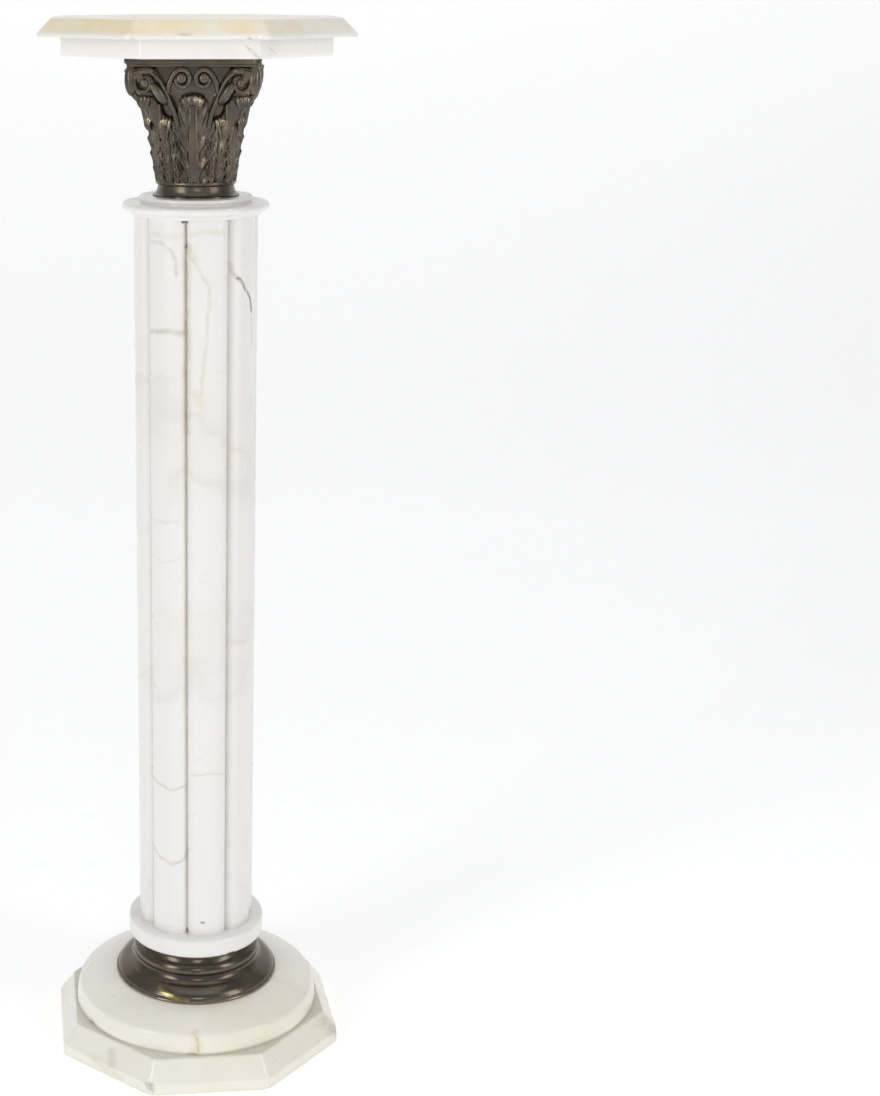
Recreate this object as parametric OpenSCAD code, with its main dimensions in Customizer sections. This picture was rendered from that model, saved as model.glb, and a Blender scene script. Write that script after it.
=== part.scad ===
// Pedestal column: octagonal stepped plinth, bronze base ring, reeded marble shaft,
// bronze leaf capital and octagonal bevelled top. Millimetres, +Z up, floor at Z = 0.

/* [Plinth] */
// Octagonal foot slab, across the flats
plinth_flats = 305; // [220:1:400]
// Across the flats at the top of the bevel
plinth_top_flats = 273; // [200:1:380]
// Thickness of the slab
plinth_t = 35; // [20:1:60]
// Height of the upright edge under the bevel
plinth_band = 12.5; // [4:0.5:30]
// Turn of the plinth against the top, degrees
plinth_turn = 4.2; // [-22:0.1:22]

/* [Plinth disc] */
// Diameter of the round step where it meets the slab
disc_d = 268.8; // [180:0.2:360]
// Diameter at the arris above its side
disc_arris_d = 261; // [170:1:350]
// Thickness of the round step
disc_t = 34; // [16:1:60]
// Height of the arris
disc_arris_z = 21; // [6:1:40]
// Diameter of the flat seat for the ring
disc_seat_d = 184; // [120:1:260]
// How full the sloping top is, 1 is a straight cone
disc_fullness = 1.5; // [1:0.1:3]

/* [Base ring] */
// Diameter of the foot
ring_foot_d = 179; // [120:1:240]
// Height of the ring
ring_t = 48; // [30:1:80]
// Thickness of the foot rim
ring_foot_t = 3.5; // [1:0.5:8]
// Height of the lower bell above the foot
ring_bell_t = 13.5; // [8:0.5:30]
// Inset of the bell behind the foot rim
ring_bell_inset = 1.5; // [0.5:0.5:6]
// Diameter at the groove between bell and torus
ring_groove_d = 131; // [90:1:200]
// Height of that groove
ring_groove_t = 1; // [0.5:0.5:5]
// Diameter over the upper torus
ring_torus_d = 138; // [95:1:210]
// Radius of the upper torus
ring_torus_r = 9.5; // [3:0.5:14]
// Diameter of the neck over the torus
ring_neck_d = 122; // [80:1:190]

/* [Collars] */
// Diameter of the lower collar
low_collar_d = 149; // [110:1:220]
// Height of the lower collar
low_collar_t = 20; // [10:1:40]
// Rounding of its edges
collar_round = 3; // [0.5:0.5:5]
// Diameter over the rim of the upper collar
up_collar_d = 147.4; // [110:0.2:220]
// Height of the upper collar
up_collar_t = 18; // [10:1:40]
// Diameter at the foot of its cavetto
up_collar_foot_d = 130; // [100:1:200]
// Height of the cavetto
up_collar_cove = 4.5; // [2:0.5:12]
// Radius of the rounded rim
up_collar_rim_r = 3.8; // [1:0.1:6]
// Diameter of the fillet under the capital
fillet_d = 113; // [80:1:160]
// Thickness of the fillet
fillet_t = 3.6; // [1:0.1:8]
// Depth of the sunk line under the fillet
fillet_sink = 2; // [0.5:0.5:5]

/* [Shaft] */
// Diameter over the reeds
shaft_d = 125; // [90:1:180]
// Length of the shaft
shaft_len = 774; // [400:1:1200]
// Number of reeds
reeds = 8; // [6:1:12]
// Depth of the grooves between reeds
groove_depth = 8.5; // [2:0.5:14]
// Flatness of the reeds, 2 is round and more is flatter
reed_flatness = 5; // [2:0.1:6]
// Turn of the reeds about the axis, degrees
shaft_turn = 11.2; // [-22:0.1:22]

/* [Capital] */
// Height of the capital
cap_t = 136; // [90:1:200]
// Turn of the capital about the axis, degrees
cap_turn = -4.5; // [-45:0.1:45]
// Diameter of the hollow foot
cap_foot_d = 86.4; // [60:0.2:120]
// Thickness of its rim
cap_foot_t = 1.5; // [0.5:0.5:4]
// Diameter of the neck
cap_neck_d = 76; // [50:0.2:110]
// Height of the neck, over its bead
cap_neck_z = 16.5; // [10:0.5:30]
// Radius of the bead under the leaves
cap_bead_r = 2.6; // [1:0.1:4]
// Diameter of the bell under the abacus
cap_bell_d = 98; // [70:1:140]
// Side of the abacus over its horns
abacus_side = 133; // [90:1:180]
// Thickness of the abacus
abacus_t = 10; // [4:0.5:16]
// Hollow of each abacus side
abacus_hollow = 9; // [3:0.5:20]
// Width cut off each abacus horn
horn_cut = 9; // [3:0.5:20]
// Radius of the corner volutes
volute_r = 10.5; // [5:0.5:16]
// Distance of a volute's eye from the middle of its face
volute_x = 46; // [30:0.5:60]
// Thickness of the corner volutes
volute_t = 11; // [5:0.5:16]
// Radius of the inner helices
helix_r = 9; // [3:0.5:12]
// Half spacing of each pair of inner helices
helix_x = 11; // [7:0.5:20]
// Radius of the post under each horn
post_r = 6.5; // [3:0.5:10]

/* [Leaves] */
// Height of the leaf tips over the capital's foot
leaf_top = 101; // [60:1:140]
// Radius of the leaf tips from the axis
leaf_tip_r = 58; // [45:1:80]
// How much higher the leaves at the corners stand
corner_leaf_lift = 1.7; // [0.5:0.1:6]
// Greatest width of a leaf
leaf_w = 34; // [16:1:50]
// Width of the curled tip
leaf_tip_w = 24; // [10:1:40]
// Thickness of a leaf
leaf_t = 4; // [2:0.5:8]
// Width of a leaf's midrib
leaf_rib_w = 3.7; // [1:0.1:8]
// Thickness of the midrib
leaf_rib_t = 3.1; // [1:0.1:6]
// Drop of the curled tip
leaf_curl = 7; // [2:0.5:14]

/* [Top] */
// Bed slab under the top, across the flats
bed_flats = 260; // [180:1:360]
// Thickness of the bed slab
bed_t = 18; // [10:1:40]
// Chamfer on its lower edge
bed_chamfer = 3; // [1:0.5:8]
// Top slab, across the flats
top_flats = 304; // [220:1:420]
// Thickness of the top slab
top_t = 17; // [10:1:40]
// Height of its upright edge
top_band = 3; // [1:0.5:10]
// Across the flats at the top of its bevel
top_face_flats = 277; // [180:1:400]

/* [Hidden] */
$fn = 72;
plinth_top = plinth_t;
disc_top = plinth_top + disc_t;
ring_top = disc_top + ring_t;
low_collar_top = ring_top + low_collar_t;
shaft_top = low_collar_top + shaft_len;
up_collar_top = shaft_top + up_collar_t;
cap_top = up_collar_top + cap_t;
bed_top = cap_top + bed_t;
abacus_z = cap_t - abacus_t;
// share of its length at which a leaf turns over
leaf_over = 0.85;
volute_z = abacus_z - volute_r - 2.5;
post_x = abacus_side / 2 - post_r - 1.5;
helix_z = abacus_z - helix_r + 1;
// radius of the arc that hollows each abacus side
hollow_half = abacus_side / 2 - horn_cut / 2;
hollow_r = (pow(hollow_half, 2) + pow(abacus_hollow, 2)) / (2 * abacus_hollow);
marble = [0.92, 0.90, 0.86];
marble_cream = [0.90, 0.83, 0.66];
bronze = [0.30, 0.22, 0.13];

// circumradius of an octagon from its size across the flats
function oct_r(flats) = flats / 2 / cos(22.5);

// points on an arc of an ellipse
function arc(cx, cy, rx, ry, a0, a1, n) =
    [for (i = [0:n]) let (a = a0 + (a1 - a0) * i / n) [cx + rx * cos(a), cy + ry * sin(a)]];

// octagonal slab with flats square to the axes, through levels of [across flats, height]
module oct_slab(levels) {
    n = len(levels);
    polyhedron(
        points = [for (g = levels) for (k = [0:7])
            let (a = 22.5 + 45 * k) [oct_r(g[0]) * cos(a), oct_r(g[0]) * sin(a), g[1]]],
        faces = concat(
            [[for (k = [0:7]) k]],
            [for (i = [0:n - 2]) for (k = [0:7]) let (j = (k + 1) % 8)
                [8 * i + k, 8 * i + 8 + k, 8 * i + 8 + j, 8 * i + j]],
            [[for (k = [7:-1:0]) 8 * (n - 1) + k]]));
}

module plinth()
    color(marble) rotate([0, 0, plinth_turn])
        oct_slab([[plinth_flats, 0], [plinth_flats, plinth_band], [plinth_top_flats, plinth_t]]);

// side of the round step, then its full, sloping top
function disc_side(n) =
    [for (i = [0:n]) let (t = i / n)
        [disc_d / 2 - (disc_d - disc_arris_d) / 2 * t * t, disc_arris_z * t]];
function disc_slope(n) =
    [for (i = [1:n]) let (t = i / n)
        [disc_arris_d / 2 - (disc_arris_d - disc_seat_d) / 2 * t,
         disc_arris_z + (disc_t - disc_arris_z) * (1 - pow(1 - t, disc_fullness))]];

module plinth_disc()
    color(marble) translate([0, 0, plinth_top])
        rotate_extrude()
            polygon(concat([[0, 0]], disc_side(6), disc_slope(10), [[0, disc_t]]));

module base_ring() {
    bell_foot_r = ring_foot_d / 2 - ring_bell_inset;
    bell_z = ring_foot_t + ring_bell_t;
    torus_z = bell_z + ring_groove_t + ring_torus_r;
    color(bronze) translate([0, 0, disc_top])
        rotate_extrude()
            polygon(concat(
                [[0, 0]],
                arc(ring_foot_d / 2 - ring_foot_t / 2, ring_foot_t / 2,
                    ring_foot_t / 2, ring_foot_t / 2, -90, 90, 6),
                arc(ring_groove_d / 2, ring_foot_t, bell_foot_r - ring_groove_d / 2,
                    ring_bell_t, 0, 90, 10),
                [[ring_groove_d / 2, bell_z + ring_groove_t]],
                arc(ring_torus_d / 2 - ring_torus_r, torus_z, ring_torus_r, ring_torus_r,
                    -60, 60, 10),
                [[ring_neck_d / 2, ring_t], [0, ring_t]]));
}

module lower_collar()
    color(marble) translate([0, 0, ring_top])
        rotate_extrude()
            polygon(concat(
                [[0, 0]],
                arc(low_collar_d / 2 - collar_round, collar_round, collar_round,
                    collar_round, -90, 0, 4),
                arc(low_collar_d / 2 - collar_round, low_collar_t - collar_round,
                    collar_round, collar_round, 0, 90, 4),
                [[0, low_collar_t]]));

// outline of the shaft: a full, flattened swelling for each reed
function reed_r(a) =
    let (u = abs(a * reeds / 360 - floor(a * reeds / 360) - 0.5) * 2)
        shaft_d / 2 - groove_depth * pow(1 - abs(1 - u), reed_flatness);
function reed_outline(n) =
    [for (i = [0:n - 1]) let (a = 360 * i / n) [reed_r(a) * cos(a), reed_r(a) * sin(a)]];

module shaft()
    color(marble) translate([0, 0, low_collar_top])
        rotate([0, 0, shaft_turn - 90 + 180 / reeds])
            linear_extrude(height = shaft_len)
                polygon(reed_outline(reeds * 16));

module upper_collar() {
    rim_r = up_collar_d / 2 - up_collar_rim_r;
    rim_z = up_collar_cove + up_collar_rim_r;
    sunk_r = fillet_d / 2 - fillet_sink;
    color(marble) translate([0, 0, shaft_top])
        rotate_extrude()
            polygon(concat(
                [[0, 0]],
                arc(rim_r, 0, rim_r - up_collar_foot_d / 2, up_collar_cove, 180, 90, 6),
                arc(rim_r, rim_z, up_collar_rim_r, up_collar_rim_r, -80, 90, 10),
                [[sunk_r, up_collar_t - fillet_t - fillet_sink],
                 [sunk_r, up_collar_t - fillet_t],
                 [fillet_d / 2, up_collar_t - fillet_t],
                 [fillet_d / 2, up_collar_t],
                 [0, up_collar_t]]));
}

// bell of the capital: hollow foot, bead, neck and slow flare
module cap_bell() {
    flare_z = abacus_z - cap_neck_z;
    bead_z = cap_neck_z - cap_bead_r;
    rotate_extrude($fn = 32)
        polygon(concat(
            [[0, 0], [cap_foot_d / 2, 0]],
            arc(cap_foot_d / 2, bead_z - cap_bead_r, (cap_foot_d - cap_neck_d) / 2,
                bead_z - cap_bead_r - cap_foot_t, -90, -180, 5),
            arc(cap_neck_d / 2, bead_z, cap_bead_r, cap_bead_r, -80, 80, 4),
            [for (i = [1:5]) let (t = i / 5)
                [cap_neck_d / 2 + (cap_bell_d - cap_neck_d) / 2 * pow(t, 1.6),
                 cap_neck_z + flare_z * t]],
            [[0, abacus_z]]));
}

// square abacus with hollow sides and cut horns
module abacus()
    translate([0, 0, abacus_z])
        difference() {
            intersection() {
                translate([-abacus_side / 2, -abacus_side / 2, 0])
                    cube([abacus_side, abacus_side, abacus_t]);
                rotate([0, 0, 45])
                    translate([-abacus_side, -abacus_side, 0] * (1 - horn_cut / abacus_side)
                              / sqrt(2))
                        cube([abacus_side * sqrt(2) * (1 - horn_cut / abacus_side),
                              abacus_side * sqrt(2) * (1 - horn_cut / abacus_side),
                              abacus_t]);
            }
            for (k = [0:3])
                rotate([0, 0, 90 * k])
                    translate([0, -abacus_side / 2 + abacus_hollow - hollow_r, -1])
                        cylinder(r = hollow_r, h = abacus_t + 2, $fn = 96);
        }

// leaf centre line from the neck up, out and over, t from 0 to 1
function leaf_r(t) =
    cap_neck_d / 2 - leaf_t / 2
    + (leaf_tip_r - cap_neck_d / 2) * (0.6 * pow(t, 1.3) + 0.4 * pow(t, 6));
function leaf_z(t) =
    cap_neck_z - 3
    + (leaf_top - leaf_t / 2 - cap_neck_z + 3) * (1 - pow(1 - min(1, t / leaf_over), 1.25))
    - leaf_curl * pow(max(0, (t - leaf_over) / (1 - leaf_over)), 2);
// width: fairly full from the foot, narrower at the curled tip
function leaf_width(t) = leaf_tip_w + (leaf_w - leaf_tip_w) * sin(180 * min(1, 0.25 + t * 0.75));

module leaf_cut(t)
    translate([0, -leaf_r(t), leaf_z(t)])
        rotate([70 * pow(t, 6), 0, 0])
            cube([leaf_width(t), leaf_t, 1.5], center = true);

module leaf() {
    n = 6;
    for (i = [0:n - 1])
        hull() {
            leaf_cut(i / n);
            leaf_cut((i + 1) / n);
        }
    // raised midrib
    for (i = [0:n - 2])
        hull() {
            translate([0, -leaf_r(i / n) - leaf_t / 2, leaf_z(i / n)])
                cube([leaf_rib_w, leaf_rib_t, 2.6], center = true);
            translate([0, -leaf_r((i + 1) / n) - leaf_t / 2, leaf_z((i + 1) / n)])
                cube([leaf_rib_w, leaf_rib_t, 2.6], center = true);
        }
}

// stem rising outwards to a scroll, from x0 to x1
module stem(x0, z0, r0, x1, z1, r1, w) {
    n = 3;
    for (i = [0:n - 1])
        hull() {
            for (k = [0:1])
                let (t = (i + k) / n)
                    translate([x0 + (x1 - x0) * pow(t, 1.6),
                               -(r0 + (r1 - r0) * pow(t, 1.6)),
                               z0 + (z1 - z0) * sin(90 * t)])
                        sphere(d = w, $fn = 6);
        }
}

module scroll(r, t)
    rotate([90, 0, 0]) {
        cylinder(r = r, h = t, center = true, $fn = 16);
        cylinder(r = r * 0.45, h = t + 2, center = true, $fn = 8);
    }

// one face: two corner scrolls, two inner helices, stems and the post under one horn
module cap_face() {
    volute_y = -abacus_side / 2 + volute_t / 2 + 3;
    helix_y = -cap_bell_d / 2 - 1;
    for (m = [-1, 1])
        scale([m, 1, 1]) {
            translate([volute_x, volute_y, volute_z])
                scroll(volute_r, volute_t);
            stem(volute_x * 0.5, leaf_top * 0.62, cap_neck_d / 2 + 3,
                 volute_x, volute_z, -volute_y, 9);
            translate([helix_x, helix_y, helix_z])
                scroll(helix_r, 8);
            stem(volute_x * 0.5, leaf_top * 0.62, cap_neck_d / 2 + 3,
                 helix_x + 2, volute_z, -helix_y, 7);
        }
    translate([post_x, -post_x, volute_z + 3])
        scale([1, 1, 2.2])
            sphere(r = post_r, $fn = 12);
}

module capital()
    color(bronze) translate([0, 0, up_collar_top])
        rotate([0, 0, cap_turn])
            union() {
                cap_bell();
                abacus();
                for (k = [0:3])
                    rotate([0, 0, 90 * k])
                        cap_face();
                for (k = [0:7])
                    rotate([0, 0, 45 * k])
                        translate([0, 0, k % 2 * corner_leaf_lift])
                            leaf();
            }

module bed_slab()
    color(marble) translate([0, 0, cap_top])
        oct_slab([[bed_flats - 2 * bed_chamfer, 0], [bed_flats, bed_chamfer], [bed_flats, bed_t]]);

module top_slab()
    color(marble_cream) translate([0, 0, bed_top])
        oct_slab([[top_flats, 0], [top_flats, top_band], [top_face_flats, top_t]]);

plinth();
plinth_disc();
base_ring();
lower_collar();
shaft();
upper_collar();
capital();
bed_slab();
top_slab();
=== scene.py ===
# %% [markdown]
# # A marble pedestal column with a bronze capital
# The column is nine pieces stacked on one axis: an octagonal plinth and a round step, a bronze
# ring, a marble collar, the reeded shaft, a second collar, a cast capital and two octagonal
# slabs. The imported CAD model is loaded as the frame, and each piece is then rebuilt with the
# roundings, chips, leaves and finishes that a plain solid lacks, in the same place and size.

import math

import bpy
import numpy as np
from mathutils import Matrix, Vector


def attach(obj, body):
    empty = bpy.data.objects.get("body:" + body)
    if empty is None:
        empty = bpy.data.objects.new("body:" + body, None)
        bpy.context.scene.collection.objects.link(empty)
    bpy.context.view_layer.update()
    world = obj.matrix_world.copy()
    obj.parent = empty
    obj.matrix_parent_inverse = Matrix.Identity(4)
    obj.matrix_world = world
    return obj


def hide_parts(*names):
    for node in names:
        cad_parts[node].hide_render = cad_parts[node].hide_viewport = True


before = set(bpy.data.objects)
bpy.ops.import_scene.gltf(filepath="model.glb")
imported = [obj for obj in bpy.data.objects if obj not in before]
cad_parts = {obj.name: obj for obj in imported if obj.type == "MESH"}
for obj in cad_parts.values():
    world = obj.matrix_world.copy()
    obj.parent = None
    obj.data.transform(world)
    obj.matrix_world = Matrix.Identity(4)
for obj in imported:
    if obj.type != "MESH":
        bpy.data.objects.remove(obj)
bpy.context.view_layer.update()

# %% [markdown]
# ## Heights and turns
# Each piece ends where the next one starts, so the heights of the joints are named once, in mm
# over the floor. The plinth, shaft and capital stand a few degrees turned against the top. The
# plan of every slab is an octagon, and the shaft has a reed for each of its eight sides.

# %% Heights and turns
MM = 0.001
PLINTH_TOP, STEP_TOP, RING_TOP = 35, 69, 117
SHAFT_FOOT, SHAFT_HEAD, REEDS = 137, 911, 8
CAP_FOOT, BED_FOOT, TOP_FOOT, TOP_FACE = 929, 1065, 1083, 1100
PLINTH_TURN, SHAFT_TURN, CAP_TURN = 4.2, 11.2, -4.5
print("shaft", SHAFT_HEAD - SHAFT_FOOT, "mm long, column", TOP_FACE, "mm high")

# %% [markdown]
# ## Writing node trees as sums
# A material or a Geometry Nodes tree is a long formula. Wiring it by hand hides the formula, so
# a small class wraps one socket and lets Python's own operators add the Math nodes. Every other
# node comes from one method, which sets the node's choices first and its inputs second.

# %% Sockets that can be added and multiplied
class Value:
    """One output socket. Arithmetic on it adds Math nodes to its tree."""

    def __init__(self, tree, socket):
        self.tree, self.socket = tree, socket

    def other(self, name):
        return Value(self.tree, self.socket.node.outputs[name])

    def into(self, node, name):
        """Feeds this value to a named input of a node."""
        self.tree.tree.links.new(self.socket, node.inputs[name])

    def maths(self, operation, *others):
        return self.tree.make("ShaderNodeMath", {"operation": operation}, self, *others)

    def __add__(self, other):
        return self.maths("ADD", other)

    def __mul__(self, other):
        return self.maths("MULTIPLY", other)

    def __sub__(self, other):
        return self.maths("SUBTRACT", other)

    def __truediv__(self, other):
        return self.maths("DIVIDE", other)

    def __pow__(self, other):
        return self.maths("POWER", other)

    def __rsub__(self, other):
        return self.tree.make("ShaderNodeMath", {"operation": "SUBTRACT"}, other, self)

    __radd__, __rmul__ = __add__, __mul__

    def __abs__(self):
        return self.maths("ABSOLUTE")

    def rise(self, low, high):
        """0 below low, 1 above high, and smooth between them."""
        return self.tree.make("ShaderNodeMapRange", {"interpolation_type": "SMOOTHSTEP"},
                              self, low, high, 0.0, 1.0)


print("sockets ready")

# %% The tree that holds them
class Tree:
    """A node tree under construction."""

    def __init__(self, nodes):
        self.tree = nodes

    def make(self, kind, settings=None, *values, out=0, at=None, **named):
        """A node of that kind. settings are its choices; values, at and named are its inputs."""
        node = self.tree.nodes.new(kind)
        for key, choice in (settings or {}).items():
            setattr(node, key, choice)
        inputs = dict(enumerate(values))
        inputs.update(at or {})
        inputs.update({name.replace("_", " "): v for name, v in named.items()})
        for key, value in inputs.items():
            if isinstance(value, Value):
                self.tree.links.new(value.socket, node.inputs[key])
            elif value is not None:
                node.inputs[key].default_value = value
        return Value(self, node.outputs[out])

    def mix(self, factor, a, b):
        """Colour a where factor is 0, colour b where it is 1."""
        a, b = [(*c, 1.0) if isinstance(c, tuple) else c for c in (a, b)]
        return self.make("ShaderNodeMix", {"data_type": "RGBA"}, at={0: factor, 6: a, 7: b}, out=2)

    def vector(self, operation, *values, **named):
        return self.make("ShaderNodeVectorMath", {"operation": operation}, *values, **named)

    def noise(self, place, scale, detail, rough=0.5, out=0):
        return self.make("ShaderNodeTexNoise", {}, Vector=place, Scale=scale, Detail=detail,
                         Roughness=rough, out=out)


print("node helpers ready")

# %% [markdown]
# ## The studio
# A pale floor runs up into a pale wall, so nothing behind the column catches the eye. Polished
# marble and rubbed bronze are read by what they mirror: two tall soft boxes give the upright
# streaks on the shaft and rings, and a wide one overhead lights the slabs.

# %% Floor and wall
def plain(name, colour, roughness, glow):
    material = bpy.data.materials.new(name)
    material.use_nodes = True
    shader = material.node_tree.nodes["Principled BSDF"]
    shader.inputs["Base Color"].default_value = (*colour, 1.0)
    shader.inputs["Roughness"].default_value = roughness
    shader.inputs["Emission Color"].default_value = (1.0, 1.0, 1.0, 1.0)
    shader.inputs["Emission Strength"].default_value = glow
    return material


def sweep():
    """Floor and wall in one sheet, joined by a quarter circle."""
    near, depth, bend, height, half = -5.0, 3.2, 1.2, 3.4, 6.0
    line = [(near, 0.0)]
    for i in range(17):
        a = math.pi / 2 * i / 16
        line.append((depth - bend + bend * math.sin(a), bend - bend * math.cos(a)))
    line.append((depth, height))
    verts = [(x, y, z) for y, z in line for x in (-half, half)]
    faces = [(2 * i, 2 * i + 1, 2 * i + 3, 2 * i + 2) for i in range(len(line) - 1)]
    mesh = bpy.data.meshes.new("studio_sweep")
    mesh.from_pydata(verts, [], faces)
    mesh.shade_smooth()
    obj = bpy.data.objects.new("studio_sweep", mesh)
    bpy.context.collection.objects.link(obj)
    obj.data.materials.append(plain("studio_paper", (0.93, 0.93, 0.93), 0.8, 0.30))


sweep()
print("floor and wall ready")

# %% Lights
def soft_box(name, place, aim, size, power):
    """A lamp at a place, in metres, that faces the point aim."""
    lamp = bpy.data.lights.new(name, "AREA")
    lamp.shape, lamp.size, lamp.size_y = "RECTANGLE", size[0], size[1]
    lamp.energy = power
    obj = bpy.data.objects.new(name, lamp)
    obj.location = place
    obj.rotation_euler = (Vector(aim) - Vector(place)).to_track_quat("-Z", "Y").to_euler()
    bpy.context.collection.objects.link(obj)


soft_box("left_box", (-2.1, -1.9, 1.5), (0, 0, 0.6), (0.8, 1.9), 23)
soft_box("right_box", (2.2, -1.5, 1.5), (0, 0, 0.6), (0.8, 1.9), 17)
soft_box("top_box", (0.0, -0.6, 3.0), (0, 0, 0.5), (2.4, 2.4), 13)
soft_box("front_fill", (0.1, -3.4, 1.6), (0, 0, 0.5), (0.7, 0.7), 8)
world = bpy.data.worlds.new("studio_air")
bpy.context.scene.world = world
world.use_nodes = True
air = world.node_tree.nodes["Background"]
air.inputs["Color"].default_value = (0.97, 0.98, 1.0, 1.0)
air.inputs["Strength"].default_value = 0.40
bpy.context.scene.view_settings.view_transform = "Standard"
print("lamps:", [lamp.name for lamp in bpy.data.lights])

# %% Camera
CAMERA_TURN, CAMERA_DOWN = -1.3, 16.94     # degrees round from -Y, and down from level
CAMERA_FAR, CAMERA_UP = 1.8926, 1.137      # metres from the axis, and over the floor
LENS_MM, LENS_SHIFT = 61.60, 0.2226
lens = bpy.data.cameras.new("camera")
lens.sensor_fit, lens.sensor_width, lens.sensor_height = "VERTICAL", 36.0, 36.0
lens.lens, lens.shift_x = LENS_MM, LENS_SHIFT
camera = bpy.data.objects.new("camera", lens)
turn = math.radians(CAMERA_TURN)
camera.location = (CAMERA_FAR * math.sin(turn), -CAMERA_FAR * math.cos(turn), CAMERA_UP)
camera.rotation_euler = (math.radians(90 - CAMERA_DOWN), 0.0, turn)
bpy.context.collection.objects.link(camera)
bpy.context.scene.camera = camera
print("camera at", [round(v, 3) for v in camera.location])

# %% [markdown]
# ## Turned work and octagonal slabs
# Rings, collars and steps are turned on a lathe, so one outline swept about the axis makes them.
# The octagonal slabs are the same job with a different plan: the radius grows towards each
# corner as 1 / cos of the angle from the flat's middle. One function makes both. The outline
# gets its arrises rounded first, since a knife-sharp edge never catches the light.

# %% Outline tools
def eased(corners, steps=4):
    """Rounds a polyline of (r, z, rounding) corners, with rounding as the cut-back in mm."""
    line = [np.array(corners[0][:2], float)]
    for before, corner, after in zip(corners, corners[1:], corners[2:]):
        here = np.array(corner[:2], float)
        back = np.array(before[:2], float) - here
        ahead = np.array(after[:2], float) - here
        cut = corner[2] if len(corner) > 2 else 0.0
        if cut <= 0:
            line.append(here)
            continue
        a = here + back / np.linalg.norm(back) * min(cut, 0.45 * np.linalg.norm(back))
        b = here + ahead / np.linalg.norm(ahead) * min(cut, 0.45 * np.linalg.norm(ahead))
        for i in range(steps + 1):
            t = i / steps
            line.append((1 - t) ** 2 * a + 2 * t * (1 - t) * here + t * t * b)
    line.append(np.array(corners[-1][:2], float))
    return np.array(line)


def finer(line, longest):
    """Adds points so that no step of the outline is longer than longest mm."""
    out = [line[0]]
    for a, b in zip(line, line[1:]):
        n = max(1, int(math.ceil(np.linalg.norm(b - a) / longest)))
        out.extend(a + (b - a) * (i + 1) / n for i in range(n))
    return np.array(out)


def arc(cx, cz, rx, rz, start, end, n):
    """Points on an ellipse about (cx, cz), angles in degrees."""
    return [(cx + rx * math.cos(math.radians(start + (end - start) * i / n)),
             cz + rz * math.sin(math.radians(start + (end - start) * i / n)))
            for i in range(n + 1)]


def octagon_angles(n=30):
    """Angles round an octagon, crowded towards its corners."""
    t = np.linspace(-1, 1, n, endpoint=False)
    side = 22.5 * np.sin(np.pi / 2 * t)
    return np.radians(np.concatenate([45 * k + side for k in range(8)]))


def octagon_plan(angles, soft=0.010):
    """Radius of a unit octagon (1 at the flats), its corners a little rounded."""
    off = (np.degrees(angles) + 22.5) % 45 - 22.5
    near = 1 / np.cos(np.radians(np.abs(off)))
    far = 1 / np.cos(np.radians(45 - np.abs(off)))
    return -soft * np.log(np.exp(-near / soft) + np.exp(-far / soft))


print("outline tools ready")

# %% [markdown]
# ## Chips and bruises
# Old marble loses flakes at its arrises. A flake leaves a small flat: every point of the mesh
# that lies past the flat's plane, within the flake's reach, is pushed back on to it, and a
# little noise keeps the break rough.

# %% The chisel
def roughness_at(points, size):
    """Cheap smooth noise from sines, -1 to 1."""
    p = points / size
    return (np.sin(p[:, 0] * 1.7 + 2.1 * np.sin(p[:, 1] * 1.3 + p[:, 2]))
            * np.sin(p[:, 1] * 1.9 + 1.7 * np.sin(p[:, 2] * 1.1 + p[:, 0] * 0.7)))


def flake(points, angle, radius, z, lift, reach, depth):
    """Cuts a flake, in mm, at an angle from -Y towards +X; lift tips it up or down, in degrees."""
    a, up = math.radians(angle), math.radians(lift)
    spot = np.array([radius * math.sin(a), -radius * math.cos(a), z])
    out = np.array([math.sin(a) * math.cos(up), -math.cos(a) * math.cos(up), math.sin(up)])
    off = points - spot
    past = off @ out + depth * (1 + 0.45 * roughness_at(points, 1.6))
    near = np.linalg.norm(off, axis=1)
    fade = np.clip((reach - near) / (0.25 * reach), 0, 1)
    past = np.where(near < reach, np.maximum(past, 0), 0) * fade
    return points - past[:, None] * out


print("chisel ready")

# %% A slab or a turned piece
def slab_piece(name, outline, angles, plan, flakes=(), wobble=0.0):
    """A closed solid of one outline, in mm, swept round the axis. plan scales the outline's radius
    at each angle, and wobble is how much of the radius is rubbed off unevenly."""
    outline = np.asarray(outline, float)
    ring = outline[1:-1]
    n, m = len(angles), len(ring)
    reach = ring[:, 0][:, None] * plan[None, :]
    points = np.stack([reach * np.sin(angles), -reach * np.cos(angles),
                       np.repeat(ring[:, 1][:, None], n, axis=1)], axis=2).reshape(-1, 3)
    if wobble:
        points[:, :2] *= 1 - wobble * (0.5 + 0.5 * roughness_at(points, 14.0))[:, None]
    for one in flakes:
        points = flake(points, *one)
    points[:, 2] = np.clip(points[:, 2], outline[:, 1].min(), outline[:, 1].max())
    points = np.vstack([points, [[0, 0, outline[0][1]], [0, 0, outline[-1][1]]]])
    foot, head = n * m, n * m + 1
    faces = []
    for i in range(m - 1):
        for k in range(n):
            j = (k + 1) % n
            faces.append((i * n + k, i * n + j, (i + 1) * n + j, (i + 1) * n + k))
    for k in range(n):
        j = (k + 1) % n
        faces.append((foot, j, k))
        faces.append((head, (m - 1) * n + k, (m - 1) * n + j))
    mesh = bpy.data.meshes.new(name)
    mesh.from_pydata((points * MM).tolist(), [], faces)
    return finished(name, mesh)


def finished(name, mesh, crease=38):
    """Puts a mesh in the scene, smooth but for creases sharper than that many degrees."""
    mesh.shade_smooth()
    mesh.set_sharp_from_angle(angle=math.radians(crease))
    obj = bpy.data.objects.new(name, mesh)
    bpy.context.collection.objects.link(obj)
    return obj


print("lathe ready")

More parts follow.
